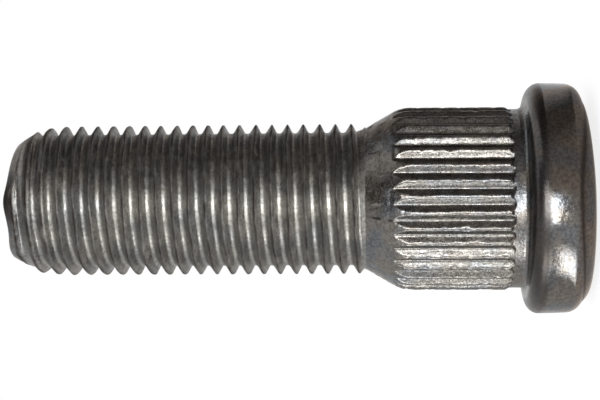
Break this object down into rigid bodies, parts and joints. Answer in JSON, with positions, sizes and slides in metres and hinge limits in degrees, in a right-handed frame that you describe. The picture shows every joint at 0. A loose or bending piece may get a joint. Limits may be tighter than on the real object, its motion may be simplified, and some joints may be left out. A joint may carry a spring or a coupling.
{
  "type": "wheel stud",
  "caption": "Press-in wheel stud: domed round head, serrated shank that is pressed into a hub, cone and rolled metric thread for a wheel nut.",
  "frame": {"origin": "centre of the bearing face, the flat ring under the head that seats on the hub", "axes": "+Z along the stud, from the head to the thread's tip; +X towards the side on which the leaning tip is lowest"},
  "size_m": [0.018, 0.018, 0.0453],
  "materials": {
    "steel": "forged and rolled steel with a dark oiled surface, burnished on the thread and the serrations"
  },
  "bodies": {
    "root": {"wheel_stud": "steel"}
  },
  "joints": []
}
